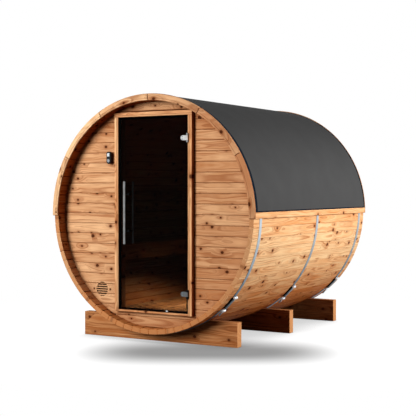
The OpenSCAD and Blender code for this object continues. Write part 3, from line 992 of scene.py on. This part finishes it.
def tensioners(mat, rod_mat, shadow_pad_mat):
    """Two lugs in the band's loops, the threaded rod through them, and a black pad below, a
    painted shadow under the rod.
    """
    lugs = Shape("lugs")
    rods = Shape("rods")
    pads = Shape("pads")
    up = onward(TENSION)
    reach = LUG_C * math.sin(LUG_ANGLE)
    stand = LUG_C * math.cos(LUG_ANGLE)
    pin_l = 0.048
    pin_r = LUG_R - BAND_THICK - 0.0001
    rod_r = 0.004
    sleeve_r = 0.0088
    cap_r = 0.0062
    cap = 0.030
    tail = 0.064
    tip = 0.016
    for node in BANDS:
        lo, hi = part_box(node)
        y = (lo.y + hi.y) / 2
        for a in (TENSION - LUG_ANGLE, TENSION + LUG_ANGLE):
            centre = around(LUG_C, a, y)
            lugs.add(turned(round_bar(pin_r, pin_l, 0.0015), centre - Y * pin_l / 2, Y, 28))
        middle = Vector((0, y, AXIS_Z)) + outward(TENSION) * stand
        rods.add(turned(threaded(rod_r, 2 * reach + tail + tip),
                        middle - up * (reach + tail), up, 14))
        rods.add(turned(round_bar(sleeve_r, 2 * reach - 2 * LUG_R - 0.016, 0.001),
                        middle - up * (reach - LUG_R - 0.008), up, 20))
        rods.add(turned(round_bar(cap_r, cap, 0.001), middle - up * (reach + 2 * cap), up, 20))
        # A black pad on the staves under the rod: painted shadow.
        pads.add(sector(STAVE_R + 0.0003, STAVE_R + 0.0018, y - 0.029, y + 0.012,
                        TENSION - 0.82 * LUG_ANGLE, TENSION + 0.82 * LUG_ANGLE, 6, 0.0005))
        for start, way in ((reach + LUG_R, 1), (-reach - LUG_R, -1)):
            foot = middle + up * (start - way * 0.001)
            lugs.add(turned([(0.0075, 0), (0.0075, 0.0014)], foot, up * way, 20))
            lugs.add(turned([(0.0066, 0.0), (0.0072, 0.0006), (0.0072, 0.0056),
                             (0.0066, 0.0062)], foot + up * way * 0.0014, up * way, 6))
    piece("tensioner_lugs", lugs, mat, ["band_tensioners"])
    piece("tensioner_rods", rods, rod_mat)
    piece("tensioner_shadow_pads", pads, shadow_pad_mat)


def cradles(mat):
    for node in ("cradle_front", "cradle_middle", "cradle_rear"):
        lo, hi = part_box(node)
        r = STAVE_R + 0.0005
        half = math.asin((AXIS_Z - hi.z) / r)
        steps = 48
        outline = [(lo.x, lo.z), (hi.x, lo.z), (hi.x, hi.z)]
        for i in range(steps + 1):
            a = -half - (math.pi - 2 * half) * i / steps
            outline.append((r * math.cos(a), AXIS_Z + r * math.sin(a)))
        outline.append((lo.x, hi.z))
        shape = Shape(node)
        shape.add(loft([[(x, y, z) for x, z in outline] for y in (lo.y, hi.y)]), X, Z,
                  tone=0.75)
        piece(node + "_plank", shape, mat, [node], bevel=0.003)


# ---- control unit

UNIT_CORNER = 0.014
UNIT_DEPTH = 0.024
DISPLAY_UP = 0.0265
DISPLAY_HALF_W = 0.0125
DISPLAY_HALF_H = 0.0150
BUTTON_DOWN = 0.0255


def unit_outline(width, height, corner):
    """An upright outline with a round foot and rounded upper corners."""
    steps = 8
    side = width / 2 - corner
    top = height / 2 - corner
    arcs = ((side, top, corner, 0, 90, steps), (-side, top, corner, 90, 180, steps),
            (0, width / 2 - height / 2, width / 2, 180, 360, 3 * steps))
    points = []
    for cx, cz, r, a0, a1, n in arcs:
        for i in range(n + 1):
            a = math.radians(a0 + (a1 - a0) * i / n)
            points.append((cx + r * math.cos(a), cz + r * math.sin(a)))
    return points


def control_unit(shell, screen, button_mat):
    lo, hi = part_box("control_unit")
    x = (lo.x + hi.x) / 2
    z = (lo.z + hi.z) / 2
    width = hi.x - lo.x
    height = hi.z - lo.z
    front = lo.y + 0.002
    back = lo.y + UNIT_DEPTH
    shape = Shape("control_unit")
    rings = []
    for y, inset in ((back, 0.003), (back - 0.003, 0), (front + 0.007, 0),
                     (front + 0.0035, 0.001), (front + 0.001, 0.003), (front, 0.0055)):
        outline = unit_outline(width - 2 * inset, height - 2 * inset, UNIT_CORNER - inset)
        rings.append([(x + px, y, z + pz) for px, pz in outline])
    shape.add(loft(rings))
    shape.add(plank((x - 0.012, back - 0.002, z - 0.036), (x + 0.012, hi.y, z + 0.040), "z"))
    piece("control_unit_shell", shape, shell, ["control_unit"])
    face = Shape("display")
    rings = []
    for y, inset in ((front + 0.0005, 0), (lo.y + 0.001, 0.0006)):
        outline = octagon(inset - DISPLAY_HALF_W, DISPLAY_HALF_W - inset,
                          inset - DISPLAY_HALF_H, DISPLAY_HALF_H - inset, 0.004)
        rings.append([(x + px, y, z + DISPLAY_UP + pz) for px, pz in outline])
    face.add(loft(rings))
    piece("control_unit_display", face, screen)
    knob = Shape("button")
    knob.add(turned([(0.0148, 0), (0.0148, 0.0012), (0.0138, 0.002), (0.0116, 0.002),
                     (0.0106, 0.0010)], (x, front + 0.0003, z - BUTTON_DOWN), -Y, 40))
    piece("control_unit_button", knob, button_mat)


PLUG_SPREAD = 0.088


def vent_plugs(mat):
    """Two round plugs in the wall beside the vent."""
    shape = Shape("vent_plugs")
    profile = [(0.0098, 0), (0.0098, 0.0015), (0.0085, 0.0025), (0.003, 0.003)]
    for side in (-1, 1):
        place = (VENT_X + side * PLUG_SPREAD, WALL_OUT_Y + 0.0005, VENT_Z)
        shape.add(turned(profile, place, -Y, 24), X, Z)
    piece("vent_plugs", shape, mat)


# ---- building it all

def build():
    stave_wood = wood("stave_wood", srgb(245, 203, 152), srgb(228, 148, 84),
                      srgb(170, 94, 46), wave=0.055, curl=0.9, ends=("y", srgb(186, 126, 82)))
    wall_wood = wood("wall_wood", srgb(238, 188, 140), srgb(190, 126, 80),
                     srgb(150, 84, 47), contrast=0.7)
    trim_wood = wood("trim_wood", srgb(244, 200, 152), srgb(196, 134, 91),
                     srgb(142, 80, 42), knots=0.55)
    frame_wood = wood("frame_wood", srgb(248, 198, 146), srgb(212, 138, 85),
                      srgb(156, 86, 46), knots=0.55, contrast=0.7)
    inner_wood = wood("inner_wood", srgb(226, 176, 122), srgb(180, 120, 70),
                      srgb(104, 58, 30), bounced=(0.1, 0.09, 0.075, 1))
    # The cradles' end faces get a paler colour: painted light where the side lamp falls.
    cradle_wood = wood("cradle_wood", srgb(226, 168, 114), srgb(170, 102, 56),
                       srgb(112, 58, 28), knots=0.4, local=True, ends=("x", srgb(214, 152, 100)))
    beam_wood = wood("beam_wood", srgb(214, 158, 108), srgb(172, 112, 66),
                     srgb(120, 68, 36), along="x")
    # The vent's cover is near black: painted shade in the slots.
    shaded_cover_wood = wood("shaded_cover_wood", srgb(44, 26, 16), srgb(30, 17, 10),
                      srgb(20, 10, 6), along="x")
    plug_wood = wood("plug_wood", srgb(126, 72, 42), srgb(98, 52, 30), srgb(66, 34, 20))
    sheet = membrane("roofing_membrane", srgb(64, 64, 64), srgb(78, 78, 78), top_shade=0.3)
    edging = membrane("roofing_edging", srgb(13, 20, 29), srgb(22, 31, 42))
    band_steel = metal("band_steel", srgb(180, 190, 198), srgb(98, 114, 124), 0.38,
                       foot=(0.35, 1.05))
    bright_steel = metal("bright_steel", srgb(232, 236, 240), srgb(200, 205, 210), 0.45)
    bar_steel = metal("bar_steel", srgb(158, 160, 160), srgb(128, 130, 131), 0.34)
    hinge_steel = metal("hinge_steel", srgb(228, 228, 225), srgb(104, 108, 110), 0.34,
                        foot=(0.6, 1.6))
    bracket_steel = metal("bracket_steel", srgb(170, 174, 176), srgb(22, 23, 25), 0.4,
                          foot=(0.6, 1.6))
    dark_steel = metal("dark_steel", srgb(52, 54, 56), srgb(34, 35, 37), 0.45)
    rod_steel = metal("rod_steel", srgb(134, 150, 160), srgb(96, 110, 120), 0.35)
    black = plastic("black_plastic", srgb(22, 23, 25), srgb(34, 35, 38), 0.35)
    rubber_and_shadow = plastic("black_rubber_and_shadow", srgb(5, 5, 5), srgb(9, 9, 9), 0.8, shine=0.02)
    pale = plastic("display_face", srgb(214, 222, 226), srgb(232, 238, 240), 0.2)
    grey = plastic("button_face", srgb(128, 132, 136), srgb(160, 164, 168), 0.3)

    staves(stave_wood)
    arches(trim_wood)
    roofing(sheet, edging)
    battens(stave_wood)
    front_wall(wall_wood)
    rear_wall(wall_wood)
    door_frame(frame_wood)
    door_seal(rubber_and_shadow)
    paint("door_glass", tinted_glass("tinted_glass"))
    door_handle(bar_steel, dark_steel)
    paint("hinge_clamps", hinge_steel, 0.0006)
    paint("hinge_brackets", bracket_steel, 0.0006)
    paint("door_catch", bright_steel, 0.0008)
    hinge_caps(rod_steel)
    floor_boards(inner_wood)
    bench(inner_wood)
    backrest(inner_wood)
    paint("floor_joists", beam_wood)
    paint("bench_bearers", beam_wood)
    paint("vent_shutter", shaded_cover_wood)
    for node in BANDS:
        band(node, band_steel, bright_steel)
    tensioners(bright_steel, rod_steel, rubber_and_shadow)
    cradles(cradle_wood)
    control_unit(black, pale, grey)
    vent_plugs(plug_wood)


# ---- floor, light and camera

def is_seen(tree):
    """1 for rays that come from the camera, a mirror or clear glass."""
    path = add(tree, "LightPath")
    seen = calc(tree, "ADD", path.outputs["Is Camera Ray"], path.outputs["Is Glossy Ray"])
    return calc(tree, "ADD", seen, path.outputs["Is Transmission Ray"], clamp=True)


# The soft shadow on the floor: its middle, half its width and depth, and its turn in degrees
SHADOW_X = 0.68
SHADOW_Y = -1.31
SHADOW_WIDE = 1.18
SHADOW_DEEP = 0.8
SHADOW_TURN = 30.7


def make_floor():
    """A pale floor with the soft shadow, white where it is far from the object."""
    size = 60.0
    mesh = bpy.data.meshes.new("ground")
    mesh.from_pydata([(-size, -size, 0), (size, -size, 0), (size, size, 0), (-size, size, 0)],
                     [], [(0, 1, 2, 3)])
    ground = bpy.data.objects.new("ground", mesh)
    bpy.context.scene.collection.objects.link(ground)
    mat, tree = material("ground")
    place = object_place(tree)
    away = add(tree, "VectorMath", {0: place}, operation="LENGTH").outputs["Value"]
    far = ramp(tree, away, 1.9, 3.3)
    lit = add(tree, "BsdfDiffuse", {"Color": (0.1, 0.1, 0.1, 1)}).outputs[0]
    dimmed = add(tree, "BsdfDiffuse", {"Color": (0.045, 0.028, 0.018, 1)}).outputs[0]
    open_sky = add(tree, "AmbientOcclusion", {"Distance": 0.5}, samples=8).outputs["AO"]
    x, y = add(tree, "SeparateXYZ", {0: place}).outputs[:2]
    turn = math.radians(SHADOW_TURN)
    x = times(tree, x, 1.0, -SHADOW_X)
    y = times(tree, y, 1.0, -SHADOW_Y)
    across = calc(tree, "ADD", times(tree, x, math.cos(turn) / SHADOW_WIDE),
                  times(tree, y, math.sin(turn) / SHADOW_WIDE))
    ahead = calc(tree, "SUBTRACT", times(tree, y, math.cos(turn) / SHADOW_DEEP),
                 times(tree, x, math.sin(turn) / SHADOW_DEEP))
    across = calc(tree, "POWER", across, 2.0)
    under = ramp(tree, hypot(tree, across, ahead), 0.15, 1.0, 0.77, 0.0)
    contact = ramp(tree, open_sky, 0.2, 0.85, 0.6, 1.0)
    shade = calc(tree, "MULTIPLY", contact, times(tree, under, -1.0, 1.0))
    glow = add(tree, "Emission", {"Color": WHITE, "Strength": shade}).outputs[0]
    white = add(tree, "Emission", {"Color": WHITE, "Strength": 1.0}).outputs[0]
    near = add(tree, "AddShader", {0: lit, 1: glow}).outputs[0]
    seen = add(tree, "MixShader", {0: far, 1: near, 2: white}).outputs[0]
    both = add(tree, "MixShader", {0: is_seen(tree), 1: dimmed, 2: seen}).outputs[0]
    add(tree, "OutputMaterial", {"Surface": both})
    mesh.materials.append(mat)


def area_light(name, at, target, size, power, tint=(1, 1, 1)):
    lamp = bpy.data.lights.new(name, "AREA")
    lamp.shape = "DISK"
    lamp.size = size
    lamp.energy = power
    lamp.color = tint
    thing = bpy.data.objects.new(name, lamp)
    thing.location = at
    thing.rotation_euler = (Vector(target) - Vector(at)).to_track_quat("-Z", "Y").to_euler()
    bpy.context.scene.collection.objects.link(thing)
    return thing


def make_lights():
    centre = (0, 0, AXIS_Z)
    key_width = 3.6
    key_height = 5.6
    key = area_light("key", (-3.7, -8.1, 3.7), (0, -1.1, AXIS_Z), key_width, 890)
    key.data.shape = "ELLIPSE"
    key.data.size_y = key_height
    key.visible_glossy = False
    area_light("side", (7.0, 1.0, 2.9), centre, 2.2, 600)
    inside = area_light("inside", (0.1, -0.5, 0.85), (0.05, -0.45, 0), 0.5, 10.5,
                        (1, 0.73, 0.5))
    inside.data.spread = math.radians(125)
    slats = area_light("slats", (0.4, -0.2, 1.35), (-0.7, 0.1, 0.8), 0.3, 0.17,
                       (1, 0.85, 0.65))
    slats.visible_camera = False
    back = area_light("back", (-2.5, 8.0, 3.4), centre, 3.0, 560)
    back.visible_glossy = False
    world = bpy.data.worlds.new("world")
    world.use_nodes = True
    tree = world.node_tree
    tree.nodes.clear()
    ambient = add(tree, "Background", {"Color": (1, 0.8, 0.63, 1), "Strength": 0.026})
    white = add(tree, "Background", {"Color": WHITE, "Strength": 1.0})
    both = add(tree, "MixShader", {0: is_seen(tree), 1: ambient.outputs[0],
                                   2: white.outputs[0]}).outputs[0]
    add(tree, "OutputWorld", {"Surface": both})
    bpy.context.scene.world = world


CAMERA_PLACE = (4.890, -8.400, 1.340)
CAMERA_TURN = 30.695
CAMERA_TILT = 1.186
CAMERA_LENS = 88.09


def make_camera():
    lens = bpy.data.cameras.new("camera")
    lens.lens = CAMERA_LENS
    lens.sensor_width = 36
    lens.clip_end = 200
    camera = bpy.data.objects.new("camera", lens)
    camera.location = CAMERA_PLACE
    camera.rotation_euler = (math.radians(90 - CAMERA_TILT), 0, math.radians(CAMERA_TURN))
    bpy.context.scene.collection.objects.link(camera)
    bpy.context.scene.camera = camera


make_camera()
build()
make_floor()
make_lights()
bpy.context.scene.view_settings.view_transform = "Standard"
